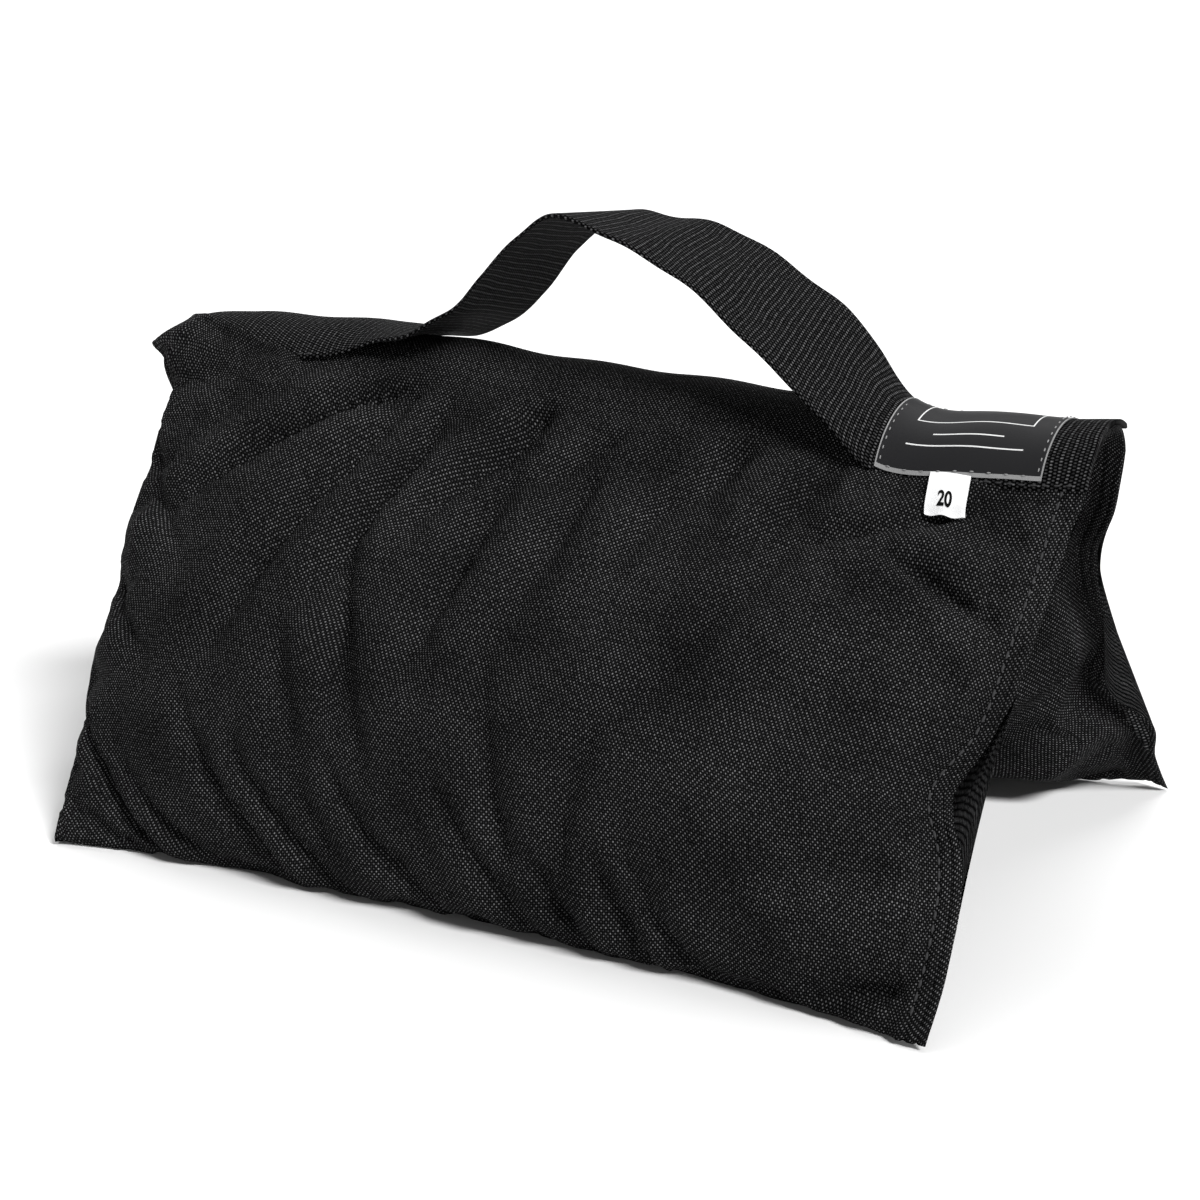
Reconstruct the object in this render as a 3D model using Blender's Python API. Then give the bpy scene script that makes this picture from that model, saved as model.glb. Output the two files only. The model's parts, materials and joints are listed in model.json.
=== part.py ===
"""A saddle sandbag: two sand-filled pouches joined over a ridge, with a webbing handle sewn along the ridge.

+X runs along the ridge towards the label, +Y from the front pouch to the rear one, +Z up.
The origin is under the middle of the bag, on the surface that the bag stands on.
Angles round the ridge are measured from straight up, positive towards the front pouch.
"""

import math

import bmesh
import bpy
from mathutils import Matrix, Vector, geometry

# Ridge: the cloth saddle is an arch about an axis along X.
RIDGE_TOP = 0.187
RIDGE_RADIUS = 0.030
RIDGE_HALF_ANGLE = math.radians(50)
RIDGE_HALF_LENGTH = 0.213
RIDGE_CLOTH = 0.0016
RIDGE_AXIS_Z = RIDGE_TOP - RIDGE_RADIUS

# Pouches: the cloth hangs from a hinge line at each edge of the arch.
CLOTH = 0.0010
GAP = 0.0003
HINGE_RADIUS = RIDGE_RADIUS - RIDGE_CLOTH / 2
HINGE_ANGLE = RIDGE_HALF_ANGLE + 0.025
HINGE_OUT = HINGE_RADIUS * math.sin(HINGE_ANGLE)
HINGE_Z = RIDGE_AXIS_Z + HINGE_RADIUS * math.cos(HINGE_ANGLE)
POUCH_TOP_HALF = 0.211
POUCH_BOTTOM_LEFT = -0.184
POUCH_BOTTOM_RIGHT = 0.199
CORNER_OUT = 0.130
FLANGE_SHARE = 0.028
# Middle section of a full pouch, as (distance out from the ridge plane, height).
OUTER_SECTION = (
    (HINGE_OUT + 0.0006, HINGE_Z - 0.0006),
    (0.042, 0.157),
    (0.076, 0.127),
    (0.104, 0.090),
    (0.123, 0.048),
    (0.131, 0.018),
    (0.1265, 0.0040),
    (0.1145, -0.0015),
)
INNER_SECTION = (
    (HINGE_OUT - 0.0010, HINGE_Z - 0.0052),
    (0.0270, 0.150),
    (0.0300, 0.115),
    (0.0315, 0.075),
    (0.0350, 0.036),
    (0.0460, 0.0080),
    (0.0650, -0.0015),
    (0.1105, -0.0015),
)
COLUMNS = 16
ROWS = 14
LINER = 0.0005
LINER_END = 0.004
SAND_END = 0.010
FILL_TOP_ROW = 2
END_SQUEEZE = 0.5
LINER_INSET = 0.0030
SAND_INSET = LINER_INSET + LINER + 0.0010

# Webbing, 50.8 mm wide, sewn along the ridge at both ends and free between them as the handle.
WEB_WIDTH = 0.0508
WEB_THICKNESS = 0.0016
WEB_RADIUS = RIDGE_RADIUS + GAP
WEB_HALF_ANGLE = WEB_WIDTH / 2 / (WEB_RADIUS + WEB_THICKNESS / 2)
HANDLE_LEFT = -0.046
HANDLE_RIGHT = 0.098
SEWN_LEFT_END = -0.074
SEWN_RIGHT_START = 0.130
HANDLE_PEAK = Vector((0.004, 0.241))
HANDLE_HEEL_LEFT = Vector((HANDLE_LEFT, 0.2035))
HANDLE_HEEL_RIGHT = Vector((HANDLE_RIGHT, 0.2045))
HANDLE_AXIS_Z = 0.190

# Label and weight tag.
LABEL_LENGTH = 0.064
LABEL_X = 0.170
LABEL_HALF_ANGLE = math.radians(40)
LABEL_THICKNESS = 0.0005
TAG_WIDTH = 0.015
TAG_LENGTH = 0.015
TAG_THICKNESS = 0.0004
TAG_X = 0.162

# Threads.
THREAD = 0.0009
SEAM_INSET = 0.008
STITCH_INSET = 0.0016


def clear_scene():
    for found in list(bpy.data.objects):
        bpy.data.objects.remove(found, do_unlink=True)


def material(name, colour, roughness):
    made = bpy.data.materials.get(name)
    if made:
        return made
    made = bpy.data.materials.new(name)
    made.use_nodes = True
    shader = made.node_tree.nodes["Principled BSDF"]
    shader.inputs["Base Color"].default_value = (*colour, 1)
    shader.inputs["Roughness"].default_value = roughness
    shader.inputs["Metallic"].default_value = 0
    made.diffuse_color = (*colour, 1)
    return made


def cloth_black():
    return material("black_cordura", (0.012, 0.012, 0.013), 0.85)


def web_black():
    return material("black_webbing", (0.010, 0.010, 0.011), 0.8)


def thread_black():
    return material("black_thread", (0.015, 0.015, 0.016), 0.6)


def add_object(name, mesh, finish, origin=(0, 0, 0)):
    """Links a mesh given in world coordinates as an object with this origin."""
    mesh.transform(Matrix.Translation(-Vector(origin)))
    mesh.materials.append(finish)
    made = bpy.data.objects.new(name, mesh)
    made.location = origin
    bpy.context.scene.collection.objects.link(made)
    return made


def mesh_of(name, build):
    """A mesh filled by build(bm), with its normals facing out."""
    bm = bmesh.new()
    build(bm)
    bmesh.ops.recalc_face_normals(bm, faces=bm.faces)
    mesh = bpy.data.meshes.new(name)
    bm.to_mesh(mesh)
    bm.free()
    mesh.shade_smooth()
    mesh.set_sharp_from_angle(angle=math.radians(40))
    return mesh


def loft(rings, closed_path=False):
    """A build function that joins rings of equal length into one closed skin, capped unless the path closes."""

    def build(bm):
        made = [[bm.verts.new(point) for point in ring] for ring in rings]
        count = len(rings[0])
        pairs = list(zip(made, made[1:]))
        if closed_path:
            pairs.append((made[-1], made[0]))
        for first, second in pairs:
            for i in range(count):
                j = (i + 1) % count
                bm.faces.new((first[i], first[j], second[j], second[i]))
        if not closed_path:
            cap(bm, made[0])
            cap(bm, made[-1])

    return build


def cap(bm, ring):
    """Closes a ring with triangles that meet at its middle."""
    middle = bm.verts.new(sum((vert.co for vert in ring), Vector()) / len(ring))
    for i, vert in enumerate(ring):
        bm.faces.new((vert, ring[i - 1], middle))


def grid_shell(front, back):
    """A build function for a thin closed sheet between two equal grids of points."""

    def build(bm):
        a = [[bm.verts.new(p) for p in row] for row in front]
        b = [[bm.verts.new(p) for p in row] for row in back]
        rows = len(a)
        columns = len(a[0])
        for r in range(rows - 1):
            for c in range(columns - 1):
                bm.faces.new((a[r][c], a[r][c + 1], a[r + 1][c + 1], a[r + 1][c]))
                bm.faces.new((b[r][c], b[r + 1][c], b[r + 1][c + 1], b[r][c + 1]))
        for r in range(rows - 1):
            bm.faces.new((a[r][0], a[r + 1][0], b[r + 1][0], b[r][0]))
            bm.faces.new((a[r][-1], b[r][-1], b[r + 1][-1], a[r + 1][-1]))
        for c in range(columns - 1):
            bm.faces.new((a[0][c], b[0][c], b[0][c + 1], a[0][c + 1]))
            bm.faces.new((a[-1][c], a[-1][c + 1], b[-1][c + 1], b[-1][c]))

    return build


def smooth_curve(points, count):
    """count points, evenly spaced by length, on a centripetal-like smooth curve through the given points."""
    knots = [Vector(p) for p in points]
    first = knots[0] * 2 - knots[1]
    last = knots[-1] * 2 - knots[-2]
    padded = [first, *knots, last]
    fine = []
    for i in range(1, len(padded) - 2):
        before, start, end, after = padded[i - 1 : i + 3]
        reach = (end - start).length / 3
        leave = start + (end - before).normalized() * reach
        arrive = end - (after - start).normalized() * reach
        three = [v.to_3d() for v in (start, leave, arrive, end)]
        fine += geometry.interpolate_bezier(*three, 25)[: None if i == len(padded) - 3 else -1]
    lengths = [0.0]
    for a, b in zip(fine, fine[1:]):
        lengths.append(lengths[-1] + (b - a).length)
    result = []
    place = 0
    for k in range(count):
        wanted = lengths[-1] * k / (count - 1)
        while place < len(fine) - 2 and lengths[place + 1] < wanted:
            place += 1
        span = lengths[place + 1] - lengths[place]
        result.append(fine[place].lerp(fine[place + 1], (wanted - lengths[place]) / span))
    return [p.to_2d() for p in result] if len(knots[0]) == 2 else result


def offset_line(points, distance):
    """The 2-D line moved sideways, positive to its left."""
    moved = []
    for i, point in enumerate(points):
        before = points[max(i - 1, 0)]
        after = points[min(i + 1, len(points) - 1)]
        along = (after - before).normalized()
        moved.append(point + Vector((-along.y, along.x)) * distance)
    return moved


def smooth_step(t):
    t = min(max(t, 0.0), 1.0)
    return t * t * (3 - 2 * t)


def fullness(a):
    """How far the pouch swells at share a of its width: nothing in the side flanges, all in the middle."""
    inside = (a - FLANGE_SHARE) / (1 - 2 * FLANGE_SHARE)
    if not 0 < inside < 1:
        return 0.0
    return (1 - abs(2 * inside - 1) ** 2.6) ** 0.62


def edge_x(v, sign):
    """X of the pouch's side edge at share v of the way down."""
    bottom = POUCH_BOTTOM_RIGHT if sign > 0 else POUCH_BOTTOM_LEFT
    top = sign * POUCH_TOP_HALF
    pulled_in = 0.006 * math.sin(math.pi * v) ** 2
    return top + (bottom - top) * v - sign * pulled_in


def seam_point(v):
    """Where the two panels of a pouch meet at its sides, at share v of the way down."""
    top = Vector((HINGE_OUT + 0.0006, HINGE_Z - 0.0020))
    return top.lerp(Vector((CORNER_OUT, 0.0016)), v)


def seam_normal():
    along = (seam_point(1) - seam_point(0)).normalized()
    return Vector((-along.y, along.x))


def panel_line(a, outer, count):
    """One panel's section at share a of the width, as count points (out, height) from top to bottom."""
    middle = smooth_curve(OUTER_SECTION if outer else INNER_SECTION, count)
    shift = seam_normal() * (CLOTH / 2 + GAP / 2) * (1 if outer else -1)
    swell = fullness(a)
    line = []
    for i, full in enumerate(middle):
        flat = seam_point(i / (count - 1)) + shift
        point = flat.lerp(full, swell)
        line.append(Vector((point.x, max(point.y, CLOTH / 2))))
    return line


def place(out, height, x, side):
    """A point of a pouch: side is -1 for the front one and +1 for the rear one."""
    return Vector((x, side * out, height))


def column_shares(count):
    """Shares across the width, closer together near the side seams."""
    inner = [0.5 - 0.5 * math.cos(math.pi * i / (count - 3)) for i in range(count - 2)]
    span = 1 - 2 * FLANGE_SHARE
    return [0.0, *(FLANGE_SHARE + span * t for t in inner), 1.0]


def panel(name, side, outer):
    front = []
    back = []
    for a in column_shares(COLUMNS):
        line = panel_line(a, outer, ROWS)
        left = offset_line(line, CLOTH / 2)
        right = offset_line(line, -CLOTH / 2)
        for grid, moved in ((front, left), (back, right)):
            column = []
            for i, point in enumerate(moved):
                v = i / (ROWS - 1)
                x = edge_x(v, -1) + (edge_x(v, 1) - edge_x(v, -1)) * a
                column.append(place(point.x, max(point.y, 0.0), x, side))
            grid.append(column)
    mesh = mesh_of(name, grid_shell(front, back))
    return add_object(name, mesh, cloth_black(), hinge_origin(side))


def hinge_origin(side):
    return (0, side * HINGE_OUT, HINGE_Z)


def fill_ring(a, inset, side):
    """A closed ring inside both panels at share a, inset from their middle lines, from FILL_TOP_ROW down."""
    count = ROWS
    outer = offset_line(panel_line(a, True, count), -inset)
    inner = offset_line(panel_line(a, False, count), inset)
    ring = []
    for line, order in ((outer, range(FILL_TOP_ROW, count - 1)), (inner, range(count - 2, FILL_TOP_ROW - 1, -1))):
        for i in order:
            v = i / (count - 1)
            x = edge_x(v, -1) + (edge_x(v, 1) - edge_x(v, -1)) * a
            squeeze = inset * END_SQUEEZE * (2 * v - 1)
            ring.append(place(line[i].x, line[i].y + squeeze, x, side))
    return ring


def sand(name, side):
    shares = column_shares(COLUMNS)[3:-3]
    shares[0] += SAND_END
    shares[-1] -= SAND_END
    rings = [fill_ring(a, SAND_INSET, side) for a in shares]
    mesh = mesh_of(name, loft(rings))
    return add_object(name, mesh, material("dry_sand", (0.46, 0.37, 0.24), 0.95), hinge_origin(side))


def liner(name, side):
    """A closed bag wall with its mouth open along the top."""
    shares = column_shares(COLUMNS)[3:-3]
    outside = [fill_ring(a, LINER_INSET, side) for a in shares]
    shares[0] += LINER_END
    shares[-1] -= LINER_END
    inside = [fill_ring(a, LINER_INSET + LINER, side) for a in shares]
    strips = len(shares) - 1
    count = len(outside[0])
    mouth = range(1, strips - 1)

    def build(bm):
        outer, inner = ([[bm.verts.new(p) for p in ring] for ring in rings] for rings in (outside, inside))
        for skin in (outer, inner):
            for k in range(strips):
                for i in range(count):
                    j = (i + 1) % count
                    if j or k not in mouth:
                        bm.faces.new((skin[k][i], skin[k][j], skin[k + 1][j], skin[k + 1][i]))
            cap(bm, skin[0])
            cap(bm, skin[-1])
        for k in mouth:
            for i in (0, -1):
                bm.faces.new((outer[k][i], outer[k + 1][i], inner[k + 1][i], inner[k][i]))
        for k in (mouth[0], mouth[-1] + 1):
            bm.faces.new((outer[k][0], outer[k][-1], inner[k][-1], inner[k][0]))

    finish = material("clear_liner", (0.55, 0.56, 0.57), 0.35)
    return add_object(name, mesh_of(name, build), finish, hinge_origin(side))


def seam_thread(name, side, sign):
    """The topstitch along one side flange: a bead on the outer panel's outer face."""
    count = 22
    spine = []
    for i in range(count):
        v = 0.02 + 0.95 * i / (count - 1)
        base = seam_point(v) + seam_normal() * (CLOTH + GAP / 2 + GAP + THREAD / 2)
        x = edge_x(v, sign) - sign * SEAM_INSET
        spine.append(place(base.x, base.y, x, side))
    mesh = mesh_of(name, loft([bead_ring(p, Vector((1, 0, 0)), side) for p in spine]))
    return add_object(name, mesh, thread_black(), hinge_origin(side))


def bead_ring(centre, across, side):
    """A square ring about a bead's centre line, lying flat on the seam plane."""
    normal = seam_normal()
    up = Vector((0, side * normal.x, normal.y))
    half = THREAD / 2
    return [centre + across * dx * half + up * dz * half for dx, dz in ((-1, -1), (1, -1), (1, 1), (-1, 1))]


def arch_point(x, angle, radius):
    return Vector((x, -radius * math.sin(angle), RIDGE_AXIS_Z + radius * math.cos(angle)))


def arch_sheet(x_start, x_end, low, high, inner, outer, columns, rows):
    """A build function for a sheet bent round the ridge axis between two angles and two radii."""
    front = []
    back = []
    for c in range(columns + 1):
        x = x_start + (x_end - x_start) * c / columns
        angles = [low + (high - low) * r / rows for r in range(rows + 1)]
        front.append([arch_point(x, angle, outer) for angle in angles])
        back.append([arch_point(x, angle, inner) for angle in angles])
    return grid_shell(front, back)


def ridge_cloth():
    build = arch_sheet(
        -RIDGE_HALF_LENGTH,
        RIDGE_HALF_LENGTH,
        -RIDGE_HALF_ANGLE,
        RIDGE_HALF_ANGLE,
        RIDGE_RADIUS - RIDGE_CLOTH,
        RIDGE_RADIUS,
        8,
        11,
    )
    return add_object("ridge_cloth", mesh_of("ridge_cloth", build), cloth_black())


def ribbon_ring(x, height, twist, curl):
    """A webbing section at x: height above the ridge axis, turned by twist and curled to the arch by share curl."""
    steps = 8
    top = []
    bottom = []
    for i in range(steps + 1):
        across = WEB_WIDTH * (i / steps - 0.5)
        radius = WEB_RADIUS + WEB_THICKNESS / 2
        angle = across / radius
        bent = Vector((radius * math.sin(angle), radius * (math.cos(angle) - 1)))
        flat = Vector((across * math.cos(twist), -across * math.sin(twist)))
        centre = flat.lerp(bent, curl)
        normal_flat = Vector((math.sin(twist), math.cos(twist)))
        normal = normal_flat.lerp(Vector((math.sin(angle), math.cos(angle))), curl).normalized()
        for row, sign in ((top, 1), (bottom, -1)):
            moved = centre + normal * sign * WEB_THICKNESS / 2
            row.append(Vector((x, -moved.x, height + moved.y)))
    return top, bottom


def ribbon(name, stations, finish, origin=(0, 0, 0)):
    """A webbing piece through stations of (x, height, twist, curl)."""
    rings = [ribbon_ring(*station) for station in stations]
    front = [ring[0] for ring in rings]
    back = [ring[1] for ring in rings]
    return add_object(name, mesh_of(name, grid_shell(front, back)), finish, origin)


def handle_height(x):
    """Centre height of the free webbing at x: two quarter waves from the heels up to the peak."""
    heel = HANDLE_HEEL_LEFT if x < HANDLE_PEAK.x else HANDLE_HEEL_RIGHT
    share = (x - heel.x) / (HANDLE_PEAK.x - heel.x)
    return heel.y + (HANDLE_PEAK.y - heel.y) * math.sin(share * math.pi / 2)


def handle_twist(x):
    """The near edge is raised at the left and dropped at the right."""
    share = (x - HANDLE_LEFT) / (HANDLE_RIGHT - HANDLE_LEFT)
    return math.radians(-10 + 26 * smooth_step(share))


def sewn_height():
    return RIDGE_AXIS_Z + WEB_RADIUS + WEB_THICKNESS / 2


def sewn_webbing():
    """The two sewn lengths of webbing, each rising at its inner end to meet the handle."""
    rise = 6
    base = sewn_height()
    left = [(-RIDGE_HALF_LENGTH + 0.001, base, 0, 1), (-0.14, base, 0, 1), (SEWN_LEFT_END, base, 0, 1)]
    right = []
    for i in range(1, rise + 1):
        t = i / rise
        x_left = SEWN_LEFT_END + (HANDLE_LEFT - 0.0005 - SEWN_LEFT_END) * t
        lift = smooth_step(t * 0.75) / smooth_step(0.75)
        left.append((x_left, base + (HANDLE_HEEL_LEFT.y - base) * lift, handle_twist(HANDLE_LEFT), 1 - t))
        x_right = SEWN_RIGHT_START + (HANDLE_RIGHT + 0.0005 - SEWN_RIGHT_START) * t
        right.insert(0, (x_right, base + (HANDLE_HEEL_RIGHT.y - base) * lift, handle_twist(HANDLE_RIGHT), 1 - t))
    right += [(SEWN_RIGHT_START, base, 0, 1), (0.172, base, 0, 1), (RIDGE_HALF_LENGTH - 0.001, base, 0, 1)]
    ribbon("webbing_left", left, web_black())
    ribbon("webbing_right", right, web_black())


def handle():
    count = 20
    stations = []
    for i in range(count + 1):
        share = 0.5 - 0.5 * math.cos(math.pi * i / count)
        x = HANDLE_LEFT + (HANDLE_RIGHT - HANDLE_LEFT) * share
        stations.append((x, handle_height(x), handle_twist(x), 0))
    ribbon("handle_webbing", stations, web_black(), (0, 0, HANDLE_AXIS_Z))


def box_stitch(name, x_start, x_end, half_angle, radius):
    """One thread sewn round a rectangle on the arch: out along the front, across, and back along the rear."""
    along = 10
    around = 8
    path = []
    for i in range(along):
        path.append((x_start + (x_end - x_start) * i / along, half_angle))
    for i in range(around):
        path.append((x_end, half_angle * (1 - 2 * i / around)))
    for i in range(along):
        path.append((x_end + (x_start - x_end) * i / along, -half_angle))
    for i in range(around):
        path.append((x_start, -half_angle * (1 - 2 * i / around)))
    middle_x = (x_start + x_end) / 2
    rings = []
    for x, angle in path:
        to_x = 1 if x > middle_x else -1
        inward = THREAD / (WEB_RADIUS + WEB_THICKNESS)
        at_end = abs(x - x_start) < 1e-9 or abs(x - x_end) < 1e-9
        at_side = abs(abs(angle) - half_angle) < 1e-9
        inner_x = x - to_x * THREAD if at_end else x
        inner_angle = angle - math.copysign(inward, angle) if at_side else angle
        ring = [arch_point(x, angle, radius), arch_point(inner_x, inner_angle, radius)]
        ring += [arch_point(inner_x, inner_angle, radius + THREAD), arch_point(x, angle, radius + THREAD)]
        rings.append(ring)
    return add_object(name, mesh_of(name, loft(rings, closed_path=True)), thread_black())


def label():
    low = LABEL_X - LABEL_LENGTH / 2
    high = LABEL_X + LABEL_LENGTH / 2
    inner = WEB_RADIUS + WEB_THICKNESS + GAP
    outer = inner + LABEL_THICKNESS
    build = arch_sheet(low, high, -LABEL_HALF_ANGLE, LABEL_HALF_ANGLE, inner, outer, 4, 10)
    add_object("label", mesh_of("label", build), material("satin_label", (0.03, 0.03, 0.032), 0.45))
    inset = 0.003
    half = LABEL_HALF_ANGLE - inset / outer
    box_stitch("label_stitching", low + inset, high - inset, half, outer + GAP)


def weight_tag():
    """A small woven flap at the lower edge of the webbing, lying on the front pouch."""
    rows = 6
    lift = CLOTH + 0.0012
    section = offset_line(panel_line(0.5, True, 240), lift)
    first = 6
    step = (section[first + 1] - section[first]).length
    last = first + round(TAG_LENGTH / step)
    line = [section[round(first + (last - first) * i / rows)] for i in range(rows + 1)]
    front = []
    back = []
    for x in (TAG_X - TAG_WIDTH / 2, TAG_X + TAG_WIDTH / 2):
        upper = offset_line(line, TAG_THICKNESS / 2)
        lower = offset_line(line, -TAG_THICKNESS / 2)
        front.append([place(p.x, p.y, x, -1) for p in upper])
        back.append([place(p.x, p.y, x, -1) for p in lower])
    hinge = place(line[0].x, line[0].y, TAG_X, -1)
    mesh = mesh_of("weight_tag", grid_shell(front, back))
    return add_object("weight_tag", mesh, material("white_tag", (0.82, 0.82, 0.80), 0.6), hinge)


def pouch(prefix, side):
    panel(prefix + "_outer_panel", side, True)
    panel(prefix + "_inner_panel", side, False)
    liner(prefix + "_liner", side)
    sand(prefix + "_sand", side)
    seam_thread(prefix + "_topstitch_left", side, -1)
    seam_thread(prefix + "_topstitch_right", side, 1)


def main():
    clear_scene()
    ridge_cloth()
    sewn_webbing()
    handle()
    web_top = WEB_RADIUS + WEB_THICKNESS + GAP
    edge = WEB_HALF_ANGLE - STITCH_INSET / WEB_RADIUS
    web_end = RIDGE_HALF_LENGTH - 2 * STITCH_INSET
    box_stitch("webbing_stitching_left", -web_end, SEWN_LEFT_END - STITCH_INSET, edge, web_top)
    box_stitch("webbing_stitching_right", SEWN_RIGHT_START + STITCH_INSET, web_end, edge, web_top)
    label()
    weight_tag()
    pouch("front", -1)
    pouch("rear", 1)


main()
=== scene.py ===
"""The looks of the saddle sandbag: cloth pouches, ribbed webbing, label, tag, threads, stage and light.

Angles round the ridge are measured from straight up, positive towards the front pouch.
A side is -1 for the front pouch and 1 for the rear one. An end is -1 for the left and 1 for the right.
A place on a pouch is (share across, share down): across from the left end to the right one, down from the
ridge to the bottom fold.
"""

import json
import math
from functools import cache

import bmesh
import bpy
import numpy as np
from mathutils import Matrix, Vector


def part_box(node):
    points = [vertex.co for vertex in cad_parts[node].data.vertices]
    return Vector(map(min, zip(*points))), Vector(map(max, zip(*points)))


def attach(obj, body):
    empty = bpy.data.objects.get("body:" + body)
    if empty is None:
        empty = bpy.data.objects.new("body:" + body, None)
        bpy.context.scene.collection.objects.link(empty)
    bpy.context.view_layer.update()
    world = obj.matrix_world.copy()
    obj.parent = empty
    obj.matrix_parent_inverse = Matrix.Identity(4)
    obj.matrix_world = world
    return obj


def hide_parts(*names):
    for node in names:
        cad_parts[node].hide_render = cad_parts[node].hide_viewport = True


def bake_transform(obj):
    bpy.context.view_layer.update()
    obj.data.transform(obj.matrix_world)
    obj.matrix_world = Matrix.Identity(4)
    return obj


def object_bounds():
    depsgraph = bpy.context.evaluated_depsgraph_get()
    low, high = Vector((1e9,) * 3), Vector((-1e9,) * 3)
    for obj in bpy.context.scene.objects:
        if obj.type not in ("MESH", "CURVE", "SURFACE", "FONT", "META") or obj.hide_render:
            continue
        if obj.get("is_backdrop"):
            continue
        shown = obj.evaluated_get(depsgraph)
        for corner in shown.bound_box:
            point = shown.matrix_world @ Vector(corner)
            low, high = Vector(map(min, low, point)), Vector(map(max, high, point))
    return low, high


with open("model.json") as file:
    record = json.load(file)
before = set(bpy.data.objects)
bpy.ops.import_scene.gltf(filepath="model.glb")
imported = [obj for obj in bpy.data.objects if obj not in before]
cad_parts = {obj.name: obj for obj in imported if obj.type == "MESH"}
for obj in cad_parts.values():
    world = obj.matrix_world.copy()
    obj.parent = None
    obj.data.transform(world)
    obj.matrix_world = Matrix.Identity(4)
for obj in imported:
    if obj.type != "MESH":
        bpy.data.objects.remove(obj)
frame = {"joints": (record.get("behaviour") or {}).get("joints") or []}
CAD_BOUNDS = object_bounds()

# From the frame: the ridge, the hinge lines, and what sits on the ridge.
RIDGE_LOW, RIDGE_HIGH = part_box("ridge_cloth")
LABEL_LOW, LABEL_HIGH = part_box("label")
TAG_LOW, TAG_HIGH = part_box("weight_tag")
HINGE = next(joint["pos_m"] for joint in frame["joints"] if joint["name"] == "rear_pouch_swing")
HINGE_OUT = HINGE[1]
HINGE_Z = HINGE[2]
RIDGE_TOP = RIDGE_HIGH.z
SIDE_NAMES = {-1: "front", 1: "rear"}
MILLIMETRE = 0.001

# The ridge: its cloth, and how far past its top each cover laps.
RIDGE_CLOTH = 0.0016
LAP_ANGLE = {-1: math.radians(16), 1: math.radians(4)}
LEFT_TIP_X = RIDGE_LOW.x + 0.018
RIGHT_TIP_X = RIDGE_HIGH.x - 0.0014
# (x, how far the soft ridge stands above the straight one): high at the left, sagging at the right.
RIDGE_LIFTS = (
    ((-0.216, -0.014), (-0.204, -0.006), (-0.19, 0.0015), (-0.16, 0.004), (-0.128, 0.0055))
    + ((-0.09, 0.004), (-0.055, 0.0028), (-0.023, 0.0007), (0.011, -0.0022), (0.053, -0.0035))
    + ((0.095, -0.0055), (0.142, -0.0095), (0.19, -0.0082), (0.216, -0.0078))
)
# (x, outer radius of the ridge's cloth): tighter where the strap pulls it down at the right.
RIDGE_RADII = ((-0.216, 0.03), (-0.1, 0.03), (0.02, 0.0295), (0.14, 0.0276), (0.216, 0.0272))
# The beak at the front cover's left end: its reach, its angle round the ridge, its spread above and below.
BEAK_REACH = 0.01
BEAK_ANGLE = math.radians(34)
BEAK_SPREAD = (math.radians(13), math.radians(9))
BEAK_LENGTH = 0.02

# Pouch shape: (out, height) of its outer and inner faces where it is full.
OUTER_SECTION = ((HINGE_OUT, HINGE_Z), (0.042, 0.1585), (0.075, 0.13), (0.102, 0.094), (0.1205, 0.053))
OUTER_SECTION += ((0.1275, 0.021), (0.1235, 0.0055), (0.115, 0.0))
INNER_SECTION = ((0.115, 0.0), (0.09, 0.0), (0.064, 0.0), (0.045, 0.009), (0.0345, 0.038))
INNER_SECTION += ((0.031, 0.076), (0.0295, 0.115), (0.0265, 0.15), (HINGE_OUT - 0.0015, HINGE_Z - 0.004))
CORNER_OUT = {-1: 0.132, 1: 0.13}
SLANT = 0.225
FLOOR_GAP = 0.0002
SEAM_TOP_Z = HINGE_Z - 0.001
SEAM_FOOT_Z = 0.0016
# (share down, x) of each side edge, by (side, end): pulled in by the fill, with out-turned corners.
EDGE_SHAPES = {
    (-1, -1): ((0, -0.1915), (0.06, -0.1895), (0.1, -0.1905), (0.16, -0.1912), (0.25, -0.19))
    + ((0.45, -0.1875), (0.65, -0.187), (0.8, -0.184), (1, -0.1815)),
    (-1, 1): ((0, 0.2105), (0.15, 0.209), (0.35, 0.2055), (0.48, 0.201), (0.61, 0.19))
    + ((0.685, 0.1968), (0.88, 0.202), (1, 0.2)),
    (1, -1): ((0, -0.2), (0.12, -0.19), (0.3, -0.1835), (0.6, -0.1815), (0.85, -0.179), (1, -0.181)),
    (1, 1): ((0, 0.2085), (0.15, 0.202), (0.28, 0.1915), (0.38, 0.1893), (0.55, 0.1915))
    + ((0.735, 0.1885), (0.76, 0.195), (0.9, 0.1985), (1, 0.201)),
}

# Side flanges: their width, their columns from the edge inwards, and how far each is folded back.
SEAM_HALF_THICKNESS = 0.0012
FLANGE = 0.0105
FLANGE_COLUMNS = (0, 0.0006, 0.0013, 0.0024, 0.0029, 0.0032, 0.0035, 0.004)
FLANGE_COLUMNS += (0.0054, 0.0066, 0.0072, 0.0076, 0.0078, 0.008, 0.0084, 0.009)
FLANGE_BEND = {(-1, -1): 1.15, (-1, 1): 0.85, (1, -1): 0.45, (1, 1): 0.25}
UNFOLDED_FROM = 0.575
HEM_INSET = 0.0032
STITCH_INSET = 0.0078
STITCH_PITCH = 0.0046

# Columns and rows of each cover.
COLUMNS = 190
OUTER_ROWS = 110
INNER_ROWS = 70
ARCH_ROWS = 18

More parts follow.
